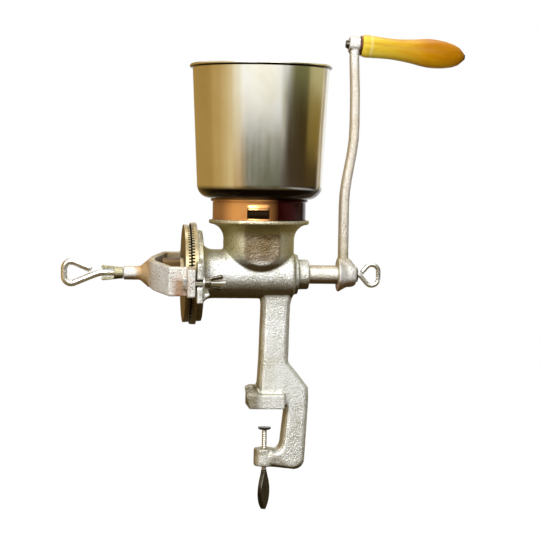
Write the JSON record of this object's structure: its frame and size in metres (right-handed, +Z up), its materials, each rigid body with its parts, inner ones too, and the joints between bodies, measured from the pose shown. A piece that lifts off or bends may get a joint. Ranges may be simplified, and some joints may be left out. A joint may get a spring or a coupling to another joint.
{
  "type": "malt mill",
  "caption": "Hand-cranked malt mill that clamps to a table: a hopper feeds grain to a worm, which drives it between grinding discs whose gap an eye screw sets.",
  "frame": {"origin": "middle of the upper jaw's underside, where it sits on the table, on the clamp screw's axis", "axes": "+Z up, +X along the shaft from the grinding discs to the crank, +Y away from the pictured front"},
  "size_m": [0.3882, 0.1418, 0.4617],
  "materials": {
    "tinned_casting": "satin, tinned",
    "tinned_sheet": "satin, tinned",
    "neck_sheet": "polished, warm tint",
    "burr_iron": "matte",
    "zinc_wire": "bright",
    "varnished_wood": "gloss varnish",
    "dark_steel": "dark, oiled",
    "ball_steel": "polished"
  },
  "bodies": {
    "frame": {"body_casting": "tinned_casting", "stationary_disc": "burr_iron", "disc_screws": "dark_steel", "bridge": "tinned_casting", "bridge_bolt_front": "zinc_wire", "bridge_bolt_back": "zinc_wire"},
    "hopper": {"hopper_bowl": "tinned_sheet", "hopper_neck": "neck_sheet"},
    "thrust": {"thrust_ball": "ball_steel"},
    "adjuster": {"adjusting_screw": "zinc_wire"},
    "rotor": {"auger": "burr_iron", "rotating_disc": "burr_iron", "drive_pin": "dark_steel", "crank_arm": "tinned_casting", "grip_spindle": "dark_steel", "grip_washer_inner": "dark_steel"},
    "grip": {"grip": "varnished_wood"},
    "crank_washer": {"crank_washer": "zinc_wire"},
    "crank_screw": {"crank_screw": "zinc_wire"},
    "lock_nut": {"lock_nut": "tinned_casting"},
    "front_washer": {"bridge_washer_front": "zinc_wire"},
    "front_nut": {"wing_nut_front": "tinned_casting"},
    "back_washer": {"bridge_washer_back": "zinc_wire"},
    "back_nut": {"wing_nut_back": "tinned_casting"},
    "pad": {"clamp_pad": "dark_steel"},
    "clamp_screw": {"clamp_screw": "dark_steel"}
  },
  "joints": [
    {"name": "disc_travel", "type": "slide", "parent": "frame", "child": "thrust", "axis": [1, 0, 0], "range_m": [-0.00375, 0.001]},
    {"name": "adjust_turn", "type": "hinge", "parent": "thrust", "child": "adjuster", "pos_m": [0, 0, 0.129], "axis": [1, 0, 0], "range_deg": [-1083, 291]},
    {"name": "crank_turn", "type": "hinge", "parent": "thrust", "child": "rotor", "pos_m": [0, 0, 0.129], "axis": [1, 0, 0], "continuous": true},
    {"name": "grip_spin", "type": "hinge", "parent": "rotor", "child": "grip", "pos_m": [0.0816, 0, 0.3515], "axis": [0.9962, 0, -0.0872], "continuous": true},
    {"name": "crank_washer_travel", "type": "slide", "parent": "rotor", "child": "crank_washer", "axis": [1, 0, 0], "range_m": [0, 0.00752]},
    {"name": "crank_screw_turn", "type": "hinge", "parent": "crank_washer", "child": "crank_screw", "pos_m": [0, 0, 0.129], "axis": [1, 0, 0], "range_deg": [0, 2160]},
    {"name": "lock_nut_turn", "type": "hinge", "parent": "frame", "child": "lock_nut", "pos_m": [0, 0, 0.129], "axis": [1, 0, 0], "range_deg": [-180, 0]},
    {"name": "front_washer_travel", "type": "slide", "parent": "frame", "child": "front_washer", "axis": [1, 0, 0], "range_m": [0, 0.00602]},
    {"name": "front_nut_turn", "type": "hinge", "parent": "front_washer", "child": "front_nut", "pos_m": [-0.06, -0.06226, 0.12355], "axis": [1, 0, 0], "range_deg": [0, 2160]},
    {"name": "back_washer_travel", "type": "slide", "parent": "frame", "child": "back_washer", "axis": [1, 0, 0], "range_m": [0, 0.00602]},
    {"name": "back_nut_turn", "type": "hinge", "parent": "back_washer", "child": "back_nut", "pos_m": [-0.06, 0.06226, 0.13445], "axis": [1, 0, 0], "range_deg": [0, 2160]},
    {"name": "clamp_travel", "type": "slide", "parent": "frame", "child": "pad", "axis": [0, 0, 1], "range_m": [-0.0165, 0.003]},
    {"name": "clamp_turn", "type": "hinge", "parent": "pad", "child": "clamp_screw", "pos_m": [0, 0, -0.05], "axis": [0, 0, 1], "range_deg": [-2975, 545]},
    {"name": "hopper_lift", "type": "slide", "parent": "frame", "child": "hopper", "axis": [0, 0, 1], "range_m": [0, 0.03]}
  ],
  "couplings": [
    {"joint": "adjust_turn", "follows": "disc_travel", "rad_per_m": 5026.5},
    {"joint": "crank_washer_travel", "follows": "crank_screw_turn", "m_per_rad": 0.00019894},
    {"joint": "front_washer_travel", "follows": "front_nut_turn", "m_per_rad": 0.00015915},
    {"joint": "back_washer_travel", "follows": "back_nut_turn", "m_per_rad": 0.00015915},
    {"joint": "clamp_turn", "follows": "clamp_travel", "rad_per_m": 3141.6}
  ]
}
